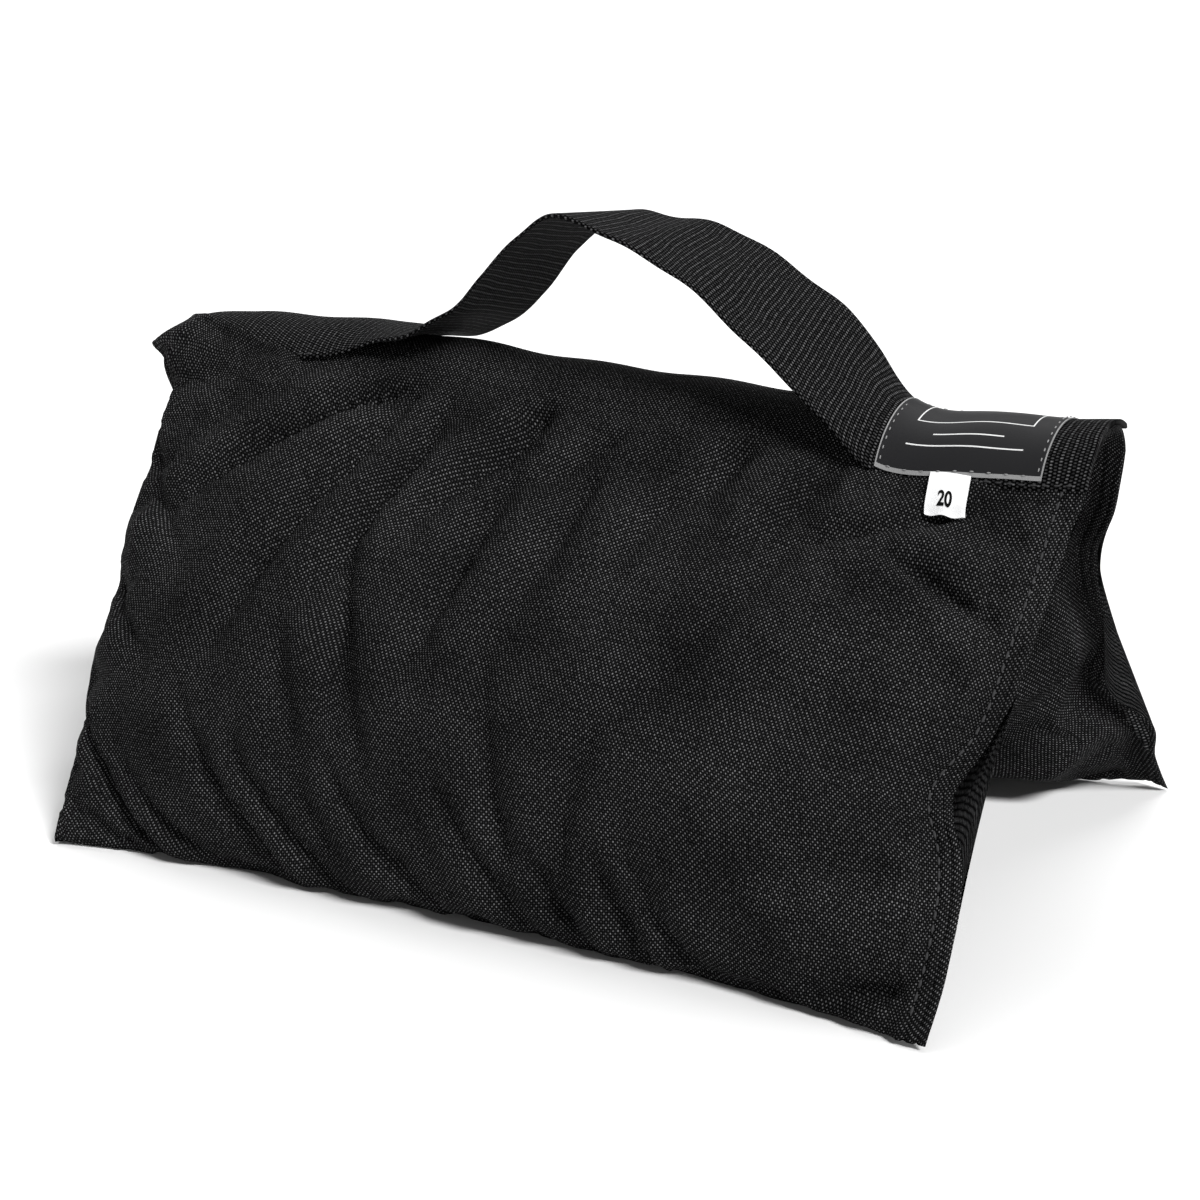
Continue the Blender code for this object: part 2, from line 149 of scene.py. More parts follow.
# The cloth simulation: its coarser grid, its length, how far a point may move, a rough length of a pouch's
# face, and the cloth itself, which is cut 3 percent too big.
SIM_COLUMNS = 96
SIM_OUTER_ROWS = 56
SIM_INNER_ROWS = 36
SIM_FRAMES = 14
SIM_CAP = 0.005
SIM_SLANT = 0.22
CLOTH = {"quality": 6, "mass": 0.15, "tension_stiffness": 25, "compression_stiffness": 25}
CLOTH |= {"shear_stiffness": 8, "bending_stiffness": 0.12, "shrink_min": -0.03}
CLOTH |= {"use_pressure": True, "uniform_pressure_force": 3.2}

# Folds of the front face: (from, bend, to, depth, half width), each place as (x, share down).
FRONT_FOLDS = (
    ((-0.035, -0.05), (-0.105, 0.08), (-0.15, 0.33), 0.0036, 0.0058),
    ((-0.06, 0.02), (-0.088, 0.3), (-0.108, 0.56), 0.004, 0.0085),
    ((-0.044, 0.02), (-0.046, 0.24), (-0.066, 0.46), 0.0038, 0.0064),
    ((-0.054, 0.34), (-0.05, 0.52), (-0.04, 0.68), 0.002, 0.0065),
    ((0.006, -0.05), (-0.014, 0.12), (-0.034, 0.3), 0.0035, 0.0064),
    ((-0.004, 0.14), (-0.002, 0.34), (-0.016, 0.55), 0.0028, 0.007),
    ((0.032, 0.08), (0.032, 0.28), (0.022, 0.48), 0.0018, 0.006),
    ((0.044, 0), (0.028, 0.08), (0.012, 0.17), 0.0014, 0.0045),
    ((0.09, -0.04), (0.08, 0.06), (0.068, 0.18), 0.0016, 0.005),
    ((0.064, 0.12), (0.062, 0.2), (0.058, 0.32), 0.0012, 0.005),
    ((0.12, 0.03), (0.112, 0.14), (0.098, 0.26), 0.0018, 0.0055),
    ((0.12, 0.12), (0.11, 0.42), (0.062, 0.62), 0.0014, 0.006),
    ((0.068, 0.58), (0.06, 0.7), (0.062, 0.84), 0.0012, 0.006),
    ((-0.052, 0.42), (-0.04, 0.58), (-0.022, 0.76), 0.0018, 0.0075),
    ((-0.08, 0.46), (-0.07, 0.6), (-0.052, 0.76), 0.0016, 0.0075),
    ((0.016, 0.5), (0.026, 0.68), (0.044, 0.92), 0.0016, 0.0065),
    ((-0.168, 0.76), (-0.146, 0.9), (-0.116, 1), 0.0017, 0.0042),
    ((-0.146, 0.8), (-0.118, 0.92), (-0.086, 1), 0.0016, 0.004),
    ((-0.116, 0.66), (-0.094, 0.82), (-0.062, 0.97), 0.0016, 0.0042),
    ((-0.086, 0.72), (-0.066, 0.86), (-0.032, 0.98), 0.0015, 0.004),
    ((-0.044, 0.72), (-0.02, 0.86), (0.01, 0.98), 0.0016, 0.0045),
    ((0.006, 0.72), (0.026, 0.86), (0.052, 0.98), 0.0014, 0.0045),
    ((0.05, 0.82), (0.058, 0.9), (0.07, 0.98), 0.0016, 0.0045),
    ((0.074, 0.8), (0.084, 0.9), (0.096, 0.98), 0.0016, 0.0045),
    ((0.094, 0.84), (0.104, 0.92), (0.12, 0.99), 0.0014, 0.0045),
    ((0.15, 0.2), (0.176, 0.25), (0.2, 0.31), 0.0022, 0.005),
    ((0.176, 0.075), (0.152, 0.14), (0.118, 0.2), 0.002, 0.0055),
    ((0.16, 0.95), (0.178, 0.94), (0.196, 0.9), 0.0022, 0.0045),
    ((0.184, 0.56), (0.188, 0.66), (0.186, 0.82), 0.0016, 0.0045),
    ((-0.176, 0.46), (-0.16, 0.56), (-0.136, 0.62), 0.0014, 0.006),
    ((-0.178, 0.2), (-0.16, 0.34), (-0.132, 0.44), 0.0014, 0.006),
)
# Swells of the front face: (place, height, (half width across, half width down)).
FRONT_SWELLS = (
    ((0.14, 0.15), 0.0045, (0.03, 0.07)),
    ((0.1, 0.55), 0.003, (0.07, 0.28)),
    ((-0.12, 0.1), 0.003, (0.04, 0.08)),
)
# Heights of the smaller wrinkles, by where they are.
WRINKLES = {"beside_seams": 0.001, "below_ridge": 0.0008, "above_fold": 0.001, "all_over": 0.0006}
WRINKLES |= {"inner_face": 0.0022, "fine": 0.0002}
# The rear pouch has the same folds, mirrored about half this x. Each fold has a low lip on both sides.
MIRROR_X = 0.008
LIP_SHARE = 0.22
LIP_PLACE = 1.9
FOLD_STRENGTH = 2.0
FOLD_WIDTH = 1.2
SHARP_SHARE = 0.4

# Webbing.
WEB_WIDTH = 0.0508
WEB_THICKNESS = 0.0019
WEB_GAP = 0.0003
WEB_LIFT = WEB_GAP + WEB_THICKNESS / 2
PEAK_X = 0.004
LEFT_SPLIT_X = -0.078
RIGHT_SPLIT_X = 0.131
WEB_ROW = 0.00148
WEB_LOOP = 0.00125
# (x, y, height over the ridge's cloth, roll in degrees, share curled round the ridge) along the webbing.
WEB_STATIONS = (
    (-0.191, 0, 0, -3, 1),
    (-0.178, 0, 0, -1, 1),
    (-0.16, 0, 0, 2, 1),
    (-0.13, 0, 0.0002, 5, 1),
    (-0.105, 0, 0.0008, 3, 0.85),
    (-0.082, 0, 0.0014, -6, 0.5),
    (-0.064, 0, 0.0018, -9, 0.25),
    (-0.048, 0, 0.008, -12, 0.05),
    (-0.031, 0, 0.025, -13, 0),
    (-0.015, 0, 0.043, -11, 0),
    (0, 0, 0.0535, -7, 0),
    (0.012, 0, 0.055, -3, 0),
    (0.027, 0, 0.053, 2, 0),
    (0.045, -0.001, 0.0488, 9, 0),
    (0.064, -0.0025, 0.0412, 15, 0),
    (0.083, -0.0045, 0.031, 21, 0),
    (0.101, -0.007, 0.019, 26, 0.05),
    (0.117, -0.0085, 0.009, 26, 0.3),
    (0.131, -0.008, 0.0022, 22, 0.75),
    (0.144, -0.006, 0.0002, 21, 1),
    (0.17, -0.005, 0, 19, 1),
    (0.211, -0.005, 0, 18, 1),
)

# The front panel's hem over the webbing: where it ends, and (x, degrees round the ridge) of its edge.
HEM_END_X = -0.112
HEM_ANGLES = ((-0.199, 4), (-0.192, 7), (-0.18, 17), (-0.166, 28), (-0.152, 37), (-0.138, 44))
HEM_ANGLES += ((-0.123, 48), (-0.112, 50))
# The hem falls to the cover from one row to the other, and its end sinks this far into the cover.
HEM_FALL_ROW = ARCH_ROWS + 0.5
HEM_LAST_ROW = ARCH_ROWS + 8.0
HEM_SINK = 0.0007

# Label and tag.
LABEL_SHARE = 0.88
LABEL_START_X = LABEL_LOW.x - 0.004
LABEL_END_X = LABEL_HIGH.x - 0.007
LABEL_WIDTH = LABEL_END_X - LABEL_START_X
LABEL_DEPTH = LABEL_SHARE * WEB_WIDTH
LABEL_BORDER = 0.0003
LABEL_INSET = 0.0016
FRAME_Y = 0.0095
RULE_HALF = 0.00028
SHEET_THICKNESS = 0.0003
TAG_START = 0.0025
TAG_REACH = 0.0185
TAG_WIDTH = TAG_HIGH.x - TAG_LOW.x
TAG_X = (TAG_LOW.x + TAG_HIGH.x) / 2

# Distances between the threads of the plain weave.
WARP_PITCH = 0.00078
WEFT_PITCH = 0.00094


# ---------------- small maths


def smooth_step(t):
    t = np.clip(t, 0.0, 1.0)
    return t * t * (3 - 2 * t)


def through(points, at):
    """A smooth curve through given (place, value) pairs, read at these places."""
    places, values = np.array(points, float).T
    slopes = np.gradient(values, places)
    at = np.clip(at, places[0], places[-1])
    i = np.clip(np.searchsorted(places, at) - 1, 0, len(places) - 2)
    step = places[i + 1] - places[i]
    t = (at - places[i]) / step
    a = values[i] * (1 + 2 * t) * (1 - t) ** 2 + values[i + 1] * t * t * (3 - 2 * t)
    return a + step * (slopes[i] * t * (1 - t) ** 2 - slopes[i + 1] * t * t * (1 - t))


def run_lengths(points, axis=0):
    """How far along its line each point is, for one line of points or a grid of them."""
    steps = np.linalg.norm(np.diff(points, axis=axis), axis=-1)
    return np.concatenate([np.zeros_like(steps.take([0], axis)), np.cumsum(steps, axis)], axis)


def read_line(at, lengths, points):
    """Points of a line at these distances along it."""
    return np.stack([np.interp(at, lengths, points[:, axis]) for axis in range(points.shape[1])], -1)


def curve_2d(points, shares):
    """Places on a smooth curve through 2-D points, at these shares of its length."""
    points = np.array(points, float)
    chord = run_lengths(points)
    fine = np.linspace(0, chord[-1], 600)
    line = np.stack([through(np.c_[chord, points[:, k]], fine) for k in (0, 1)], 1)
    lengths = run_lengths(line)
    return read_line(np.asarray(shares) * lengths[-1], lengths, line)


def bell(offset, width):
    """A bell-shaped share: 1 in the middle, about a third one width away."""
    return np.exp(-((offset / width) ** 2))


def rim(distance, onset, width):
    """A share that rises from 0 at an edge over its onset, then fades over its width."""
    return bell(distance, width) * smooth_step(distance / onset)


def ripples(x, y, wavelength, seed, count=9):
    """Smooth seeded noise of unit size over a plane, with features about one wavelength wide."""
    random = np.random.default_rng(seed)
    total = np.zeros(np.broadcast(x, y).shape)
    for _ in range(count):
        angle = random.uniform(0, math.tau)
        pitch = wavelength * random.uniform(0.7, 1.6)
        phase = random.uniform(0, math.tau)
        total += np.sin(math.tau * (x * math.cos(angle) + y * math.sin(angle)) / pitch + phase)
    return total / math.sqrt(count / 2)


# ---------------- ridge


def ridge_lift(x):
    """How far the soft ridge stands above the straight one, with a slight ripple."""
    ripple = 0.0006 * np.sin(118 * x + 1) + 0.0004 * np.sin(67 * x)
    return ripple + through(RIDGE_LIFTS, x)


def ridge_radius(x):
    return through(RIDGE_RADII, x)


def hinge_angle(x):
    """Angle round the ridge where each section meets the pouch."""
    return np.arcsin(HINGE_OUT / ridge_radius(x))


def arch(x, angle, above):
    """Points round the ridge, this far above its cloth."""
    x, angle, above = np.broadcast_arrays(x, angle, above)
    radius = ridge_radius(x)
    reach = radius + above
    height = RIDGE_TOP + ridge_lift(x) - radius + reach * np.cos(angle)
    return np.stack([x, -reach * np.sin(angle), height], -1)


# ---------------- pouches


def seam_wave(v, side, end):
    """How far the cloth beside a seam waves out of its plane."""
    wave = 0.0016 * np.sin(9.0 * v + 2 * side + end) + 0.001 * np.sin(23 * v + end)
    return wave * np.sin(np.pi * np.clip(v, 0.02, 1)) ** 0.5


def flange_bend(v, side, end):
    """How far a side flange is folded back; the front right one is flat below its middle."""
    bend = FLANGE_BEND[side, end] * smooth_step(v / 0.1)
    if side < 0 and end > 0:
        bend = bend * (1 - smooth_step((v - UNFOLDED_FROM) / 0.07))
    return bend


def fullness(place, v):
    """Share of the full section at this share across: it fills quickly at mid height, later at the ends."""
    power = 2.7 - 0.5 * np.abs(2 * v - 1) ** 3
    return (1 - np.abs(2 * np.clip(place, 0, 1) - 1) ** power) ** 0.62


def fold_depth(x, s, fold, sharp):
    """How deep a fold is at each place; s is the distance down. Its sharp core is narrow and shallow."""
    start, bend, end, depth, width = fold
    width = width * FOLD_WIDTH
    if sharp:
        depth = depth * SHARP_SHARE
        width = width * SHARP_SHARE
    t = np.linspace(0, 1, 25)[:, None]
    ends = [np.array((place[0], place[1] * SLANT)) for place in (start, bend, end)]
    line = (1 - t) ** 2 * ends[0] + 2 * t * (1 - t) * ends[1] + t * t * ends[2]
    best = np.full(x.shape, np.inf)
    along = np.zeros(x.shape)
    for k, (px, ps) in enumerate(line):
        gap = (x - px) ** 2 + (s - ps) ** 2
        nearer = gap < best
        best = np.where(nearer, gap, best)
        along = np.where(nearer, k / (len(line) - 1), along)
    taper = np.sin(np.pi * (0.08 + 0.84 * along)) ** 0.8
    away = np.sqrt(best) / width
    return depth * FOLD_STRENGTH * taper * (bell(away, 1) - LIP_SHARE * bell(away - LIP_PLACE, 1))


def grid_normals(points, side):
    """Outward directions of a pouch's skin."""
    normal = np.cross(np.gradient(points, axis=0), np.gradient(points, axis=1)) * side
    return normal / np.maximum(np.linalg.norm(normal, axis=-1, keepdims=True), 1e-12)


def column_places(count):
    """Shares across between the side flanges: nearly even, with more near the flanges."""
    inner = 0.5 - 0.5 * np.cos(np.linspace(0, np.pi, count))
    return 0.45 * inner + 0.55 * np.linspace(0, 1, count)


def pouch_grid(side, columns_inside, outer_rows, inner_rows):
    """One pouch as points[column, row], down its outer face and back up its inner one.

    With it come each point's distance from the nearer side edge, and each row's share down and face.
    """
    rows_out = np.linspace(0, 1, outer_rows)
    rows_in = np.linspace(1, 0, inner_rows)[1:]
    v = np.r_[rows_out, rows_in]
    full = np.r_[curve_2d(OUTER_SECTION, rows_out), curve_2d(INNER_SECTION, 1 - rows_in)]
    is_outer = np.r_[np.ones(len(rows_out)), -np.ones(len(rows_in))]
    edges = {end: through(EDGE_SHAPES[side, end], v) for end in (-1, 1)}
    inside = edges[1] - edges[-1] - 2 * FLANGE
    seam_out = HINGE_OUT + (CORNER_OUT[side] - HINGE_OUT) * v
    seam_z = SEAM_TOP_Z * (1 - v) + SEAM_FOOT_Z * v
    slope = np.array((CORNER_OUT[side] - HINGE_OUT, SEAM_FOOT_Z - SEAM_TOP_Z))
    slope = slope / np.linalg.norm(slope)
    gap = SEAM_HALF_THICKNESS * np.minimum(1, (1 - v) / 0.012) ** 0.5
    columns = []
    distance = []
    flange = np.array(FLANGE_COLUMNS)
    for end, places in ((-1, flange), (0, column_places(columns_inside)), (1, flange[::-1])):
        wave = seam_wave(v, side, end)
        for place in places:
            if end:
                bend = flange_bend(v, side, end)
                beyond = FLANGE - place
                x = edges[end] + end * (beyond * np.cos(bend) - FLANGE)
                aside = wave * (0.4 + 0.6 * beyond / FLANGE) - beyond * np.sin(bend)
                thick = gap * min(1.0, (place / SEAM_HALF_THICKNESS) ** 0.5 + 0.001)
                swell = 0.0
                away = np.full(len(v), place)
            else:
                x = edges[-1] + FLANGE + inside * place
                swell = fullness(place, v)
                aside = wave * 0.4 * (1 - swell)
                thick = gap
                away = FLANGE + inside * min(place, 1 - place)
            out = seam_out - slope[1] * (is_outer * thick + aside)
            height = seam_z + slope[0] * (is_outer * thick + aside)
            out = out + (full[:, 0] - out) * swell
            height = height + (full[:, 1] - height) * swell
            columns.append(np.stack([x, side * out, height], 1))
            distance.append(away)
    return np.array(columns), np.array(distance), v, is_outer


def run_across(distance):
    """Where each column lies along the cloth's width, from its left edge."""
    middle = distance[:, distance.shape[1] // 3]
    peak = int(np.argmax(middle))
    return np.r_[middle[: peak + 1], 2 * middle[peak] - middle[peak + 1 :]]


def wrinkle(points, distance, v, is_outer, side, sharp):
    """Moves a pouch's skin in and out: by broad folds, swells and ripples, or only by sharp fold cores."""
    x = points[..., 0]
    s = np.broadcast_to(v * SLANT, x.shape)
    outer = np.broadcast_to(is_outer > 0, x.shape)
    mirrored = x if side < 0 else MIRROR_X - x
    face = np.zeros(x.shape)
    for fold in FRONT_FOLDS:
        face -= fold_depth(mirrored, s, fold, sharp)
    face *= smooth_step((1 - v) / 0.07 + 0.12)
    if sharp:
        move = np.where(outer, face, 0) + WRINKLES["fine"] * ripples(x, s, 0.012, 41 + side)
    else:
        for (px, pv), height, (wx, wv) in FRONT_SWELLS:
            face += height * bell(mirrored - px, wx) * bell(v - pv, wv)
        inner = WRINKLES["inner_face"] * ripples(x, s * 0.6, 0.06, 31 + side) * smooth_step(s / 0.05)
        gathers = ripples(s, x * 0.15, 0.022, 11 + side) * rim(distance - FLANGE, 0.008, 0.022)
        top = ripples(x, s * 0.2, 0.024, 5 + side) * rim(s, 0.01, 0.05)
        bottom = ripples(x, s * 0.2, 0.026, 17 + side) * rim((1 - v) * SLANT, 0.006, 0.04)
        move = np.where(outer, face, inner)
        move += WRINKLES["beside_seams"] * gathers
        move += WRINKLES["below_ridge"] * top
        move += WRINKLES["above_fold"] * bottom
        move += WRINKLES["all_over"] * ripples(x, s, 0.045, 23 + side)
    fade = smooth_step((distance - FLANGE * 0.9) / 0.01) * smooth_step(s / 0.012 + 0.15)
    return points + grid_normals(points, side) * (move * fade)[..., None]


def flange_dents(points, distance, v, side):
    """Sinks the skin along the topstitch row and the hem's folded edge, and puckers it between stitches."""
    beads = 0.5 + 0.5 * np.sin(math.tau * v * SLANT / STITCH_PITCH)
    row = bell(distance - STITCH_INSET, 0.0008) * (0.6 + 0.4 * beads)
    puckers = bell(distance - STITCH_INSET - 0.0022, 0.0016) * beads
    hem = bell(distance - HEM_INSET, 0.00035) * smooth_step(v / 0.1)
    move = 0.0002 * puckers - 0.0009 * row - 0.0007 * hem
    return points + grid_normals(points, side) * move[..., None]


def cover_grid(side, columns, outer_rows, inner_rows, wrinkled=True):
    """One pouch with its share of the ridge cloth: grid[column, row] of points.

    The first and the last rows are the ridge's, outside and inside, and the pouch's are between them.
    """
    points, distance, v, is_outer = pouch_grid(side, columns, outer_rows, inner_rows)
    if wrinkled:
        points = wrinkle(points, distance, v, is_outer, side, False)
    edge_x = points[:, 0, 0]
    ends = arch(edge_x, -side * hinge_angle(edge_x), 0.0)[:, 2] - HINGE_Z
    points[..., 2] += ends[:, None] * (1 - v) ** 2
    points[..., 2] = np.maximum(points[..., 2], FLOOR_GAP)
    share = (edge_x - edge_x[0]) / (edge_x[-1] - edge_x[0])
    ridge_x = (LEFT_TIP_X + share * (RIGHT_TIP_X - LEFT_TIP_X))[:, None]
    reach = np.linspace(0, 1, ARCH_ROWS)[None, :-1]
    angles = -side * (-LAP_ANGLE[side] + (hinge_angle(ridge_x) + LAP_ANGLE[side]) * reach)
    outer_tail = arch(ridge_x, angles, 0.0)
    inner_tail = arch(ridge_x, angles[:, ::-1], -RIDGE_CLOTH)
    follow = reach**0.9
    outer_tail[..., 0] = ridge_x * (1 - follow) + points[:, :1, 0] * follow
    inner_tail[..., 0] = ridge_x * (1 - follow[:, ::-1]) + points[:, -1:, 0] * follow[:, ::-1]
    if side < 0:
        spread_at = np.where(angles < BEAK_ANGLE, *BEAK_SPREAD)
        near_end = 1 - smooth_step((ridge_x - ridge_x[0]) / BEAK_LENGTH)
        beak = BEAK_REACH * bell(angles - BEAK_ANGLE, spread_at) * near_end
        outer_tail[..., 0] -= beak
        inner_tail[..., 0] -= beak[:, ::-1]
    return np.concatenate([outer_tail, points, inner_tail], 1), distance, v, is_outer


def pouch_rows(v):
    """The rows of a cover's grid that are the pouch's."""
    return slice(ARCH_ROWS - 1, ARCH_ROWS - 1 + len(v))


def settled(side):
    """How a coarse copy of the cover moves when blown up a little, with slack cloth and its seams held."""
    grid, distance, v, is_outer = cover_grid(side, SIM_COLUMNS, SIM_OUTER_ROWS, SIM_INNER_ROWS)
    mesh = skin("trial", grid, side)
    trial = placed("trial", mesh)
    loose = smooth_step((distance - FLANGE * 0.9) / 0.004) * smooth_step((v * SIM_SLANT - 0.004) / 0.02)
    loose = loose * smooth_step((1 - v) * SIM_SLANT / 0.006 + 0.25)
    hold = np.ones(grid.shape[:2])
    part = pouch_rows(v)
    hold[:, part] = 1 - loose
    group = trial.vertex_groups.new(name="held")
    for index, weight in enumerate(hold.ravel()):
        group.add([index], float(weight), "REPLACE")
    cloth = trial.modifiers.new("cloth", "CLOTH")
    for setting, value in CLOTH.items():
        setattr(cloth.settings, setting, value)
    cloth.settings.vertex_group_mass = "held"
    cloth.settings.effector_weights.gravity = 0
    cloth.collision_settings.use_collision = False
    scene = bpy.context.scene
    for step in range(1, SIM_FRAMES + 1):
        scene.frame_set(step)
    graph = bpy.context.evaluated_depsgraph_get()
    moved = np.empty(len(mesh.vertices) * 3, np.float32)
    trial.evaluated_get(graph).data.vertices.foreach_get("co", moved)
    scene.frame_set(1)
    bpy.data.objects.remove(trial)
    bpy.data.meshes.remove(mesh)
    shift = moved.reshape(grid.shape) - grid
    length = np.linalg.norm(shift, axis=-1, keepdims=True)
    shift *= np.minimum(1, SIM_CAP / np.maximum(length, 1e-9))
    return shift[:, part], run_across(distance), path_share(v, is_outer)


def path_share(v, is_outer):
    """Row places running from 0 at the hinge, 1 at the bottom fold, to 2 at the hinge again."""
    return np.where(is_outer > 0, v, 2 - v)


def spread(values, old_across, old_rows, across, rows):
    """Reads a coarse grid of values at finer places."""
    axes = []
    for axis in np.moveaxis(values, -1, 0):
        wide = np.array([np.interp(across, old_across, line) for line in axis.T])
        axes.append([np.interp(rows, old_rows, line) for line in wide.T])
    return np.moveaxis(np.array(axes), 0, -1)


@cache
def cover_points(side):
    """The finished skin of one pouch and its ridge cloth."""
    grid, distance, v, is_outer = cover_grid(side, COLUMNS, OUTER_ROWS, INNER_ROWS)
    part = pouch_rows(v)
    shift, old_run, old_rows = settled(side)
    grid[:, part] += spread(shift, old_run, old_rows, run_across(distance), path_share(v, is_outer))
    grid[:, part] = wrinkle(grid[:, part], distance, v, is_outer, side, True)
    grid[:, part] = flange_dents(grid[:, part], distance, v, side)
    grid[..., 2] = np.maximum(grid[..., 2], FLOOR_GAP)
    return grid, distance, v


def cover_mesh(name, side):
    """A cover's mesh, with its weave laid out in metres over the cloth before it wrinkled."""
    mesh = skin(name, cover_points(side)[0], side)
    smooth = cover_grid(side, COLUMNS, OUTER_ROWS, INNER_ROWS, wrinkled=False)[0]
    across = run_lengths(smooth, 0)
    across -= across[len(across) // 2]
    add_uv(mesh, np.stack([across, run_lengths(smooth, 1)], -1).reshape(-1, 2))
    return mesh


def numbered(columns, rows):
    """Point numbers of a grid, and those of the next row round it."""
    index = np.arange(columns * rows).reshape(columns, rows)
    return index, np.roll(index, -1, axis=1)


def skin(name, grid, side):
    """A closed mesh round grid[column, row]: rows close on themselves and both end columns are capped."""
    columns, rows = grid.shape[:2]
    index, following = numbered(columns, rows)
    quads = np.stack([index[:-1], following[:-1], following[1:], index[1:]], -1).reshape(-1, 4)
    if side > 0:
        quads = quads[:, ::-1]
    faces = quads.tolist()
    for end, turn in ((index[0].tolist(), 1), (index[-1].tolist(), -1)):
        for k in range(rows // 2 - 1):
            quad = [end[k], end[rows - 1 - k], end[rows - 2 - k], end[k + 1]][:: turn * -side]
            if len(set(quad)) == 4:
                faces.append(quad)
    return smooth_mesh(name, grid, faces)


def smooth_mesh(name, points, faces):
    mesh = bpy.data.meshes.new(name)
    mesh.from_pydata(points.reshape(-1, 3).tolist(), [], faces)
    mesh.shade_smooth()
    return mesh


def add_uv(mesh, places):
    """Texture places in metres, one per vertex."""
    layer = mesh.uv_layers.new(name="cloth")
    corners = np.empty(len(mesh.loops), np.int32)
    mesh.loops.foreach_get("vertex_index", corners)
    layer.data.foreach_set("uv", np.asarray(places)[corners].astype(np.float32).ravel())


def placed(name, data):
    made = bpy.data.objects.new(name, data)
    bpy.context.scene.collection.objects.link(made)
    return made


def add(name, mesh, finish):
    mesh.materials.clear()
    mesh.materials.append(finish)
    return placed(name, mesh)


# ---------------- webbing


def web_centre(t):
    """The stations' five values anywhere along the webbing, from 0 at its left end to 1 at its right."""
    stations = np.array(WEB_STATIONS)
    places = run_lengths(stations[:, [0, 2]])
    at = np.asarray(t) * places[-1]
    return [through(np.c_[places, stations[:, k]], at) for k in range(5)]


def web_surface(t, across, level):
    """Points of the webbing: across from -1 at its rear edge to 1 at the front, level above its middle."""
    x, y, lift, roll, curl = (value[..., None] for value in web_centre(t))
    roll = np.radians(roll)
    across, level = np.broadcast_arrays(np.atleast_1d(across), level)
    across = across[None, :] * WEB_WIDTH / 2
    level = level[None, :]
    crown = 0.0006 * np.cos(across / WEB_WIDTH * 2)
    middle = ridge_radius(x) + WEB_LIFT
    angle = roll + across / middle
    bent_out = (middle + level) * np.sin(angle)
    bent_up = (middle + level) * np.cos(angle) - middle
    flat_out = across * np.cos(roll) + level * np.sin(roll) - y
    flat_up = -across * np.sin(roll) + level * np.cos(roll) + crown
    curl = smooth_step(curl)
    out = flat_out + (bent_out - flat_out) * curl
    up = flat_up + (bent_up - flat_up) * curl
    ripple = 0.0005 * np.sin(210 * x + 40 * across) * (1 - curl)
    base = RIDGE_TOP + WEB_LIFT + ridge_lift(x) + ripple
    return np.stack([np.broadcast_to(x, out.shape), -out, base + lift + up], -1)


def parameter_at(x):
    """Where along the webbing this x is, as a parameter of web_centre."""
    t = np.linspace(0, 1, 4001)
    return float(np.interp(x, web_centre(t)[0], t))


def webbing_mesh(name, x_from, x_to, stations):
    """A length of webbing with rounded edges. Its texture runs on from the webbing's left end."""
    t_from = parameter_at(x_from)
    top = np.linspace(-1, 1, 41)
    rounding = np.clip((1 - np.abs(top)) / 0.03, 0, 1)
    level_top = WEB_THICKNESS / 2 * np.sqrt(np.clip(1 - (1 - rounding) ** 2, 0, 1))
    across = np.r_[top, top[::-1][1:-1]]
    level = np.r_[level_top, -level_top[::-1][1:-1]]
    grid = web_surface(np.linspace(t_from, parameter_at(x_to), stations), across, level)
    columns, rows = grid.shape[:2]
    index, following = numbered(columns, rows)
    faces = np.stack([index[:-1], index[1:], following[1:], following[:-1]], -1).reshape(-1, 4).tolist()
    count = len(top)
    for end, turn in ((index[0].tolist(), 1), (index[-1].tolist(), -1)):
        for k in range(1, count - 2):
            faces.append([end[k], end[k + 1], end[rows - k - 1], end[rows - k]][::turn])
        faces.append([end[0], end[1], end[rows - 1]][::turn])
        faces.append([end[count - 2], end[count - 1], end[count]][::turn])
    mesh = smooth_mesh(name, grid, faces)
    before = web_surface(np.linspace(0, t_from, 400), 0.0, 0.0)[:, 0]
    run = np.concatenate([before, grid[1:, count // 2]])
    lengths = run_lengths(run)[len(before) - 1 :]
    uv = np.stack(np.broadcast_arrays(lengths[:, None], across[None, :] * WEB_WIDTH / 2), -1)
    add_uv(mesh, uv.reshape(-1, 2))
    return mesh


# ---------------- threads, label, tag


def stitches(name, places, normals, finish, length, radius):
    """A row of short rounded stitches, one at each place, lying along the row."""
    bm = bmesh.new()
    for (start, end), normal in zip(places, normals):
        start, end, normal = Vector(start), Vector(end), Vector(normal)
        along = (end - start).normalized()
        sideways = along.cross(normal).normalized()
        turn = Matrix((along, sideways, normal)).transposed().to_4x4()
        turn.translation = (start + end) / 2
        ball = bmesh.ops.create_uvsphere(bm, u_segments=8, v_segments=6, radius=1)["verts"]
        scale = Matrix.Diagonal((length / 2, radius, radius * 0.8, 1))
        bmesh.ops.transform(bm, matrix=turn @ scale, verts=ball)
    mesh = bpy.data.meshes.new(name)
    bm.to_mesh(mesh)
    bm.free()
    mesh.shade_smooth()
    return add(name, mesh, finish)


def row_places(line, normals, pitch, share):
    """Stitch places along a fine line of points: (start, end) pairs and their normals."""
    lengths = run_lengths(line)
    middles = (np.arange(int(lengths[-1] / pitch)) + 0.5) * pitch
    starts = read_line(middles - share / 2 * pitch, lengths, line)
    ends = read_line(middles + share / 2 * pitch, lengths, line)
    return list(zip(starts, ends)), list(read_line(middles, lengths, normals))


def joined(rows):
    """The stitch places and normals of several rows as one."""
    places, normals = zip(*rows)
    return sum(places, []), sum(normals, [])


def web_row(t, across, level):
    """A fine line on the webbing, along it or across it, and its normals."""
    line = web_surface(t, across, level).reshape(-1, 3)
    above = web_surface(t, across, level + MILLIMETRE).reshape(-1, 3)
    return line, (above - line) / MILLIMETRE


# ---------------- materials


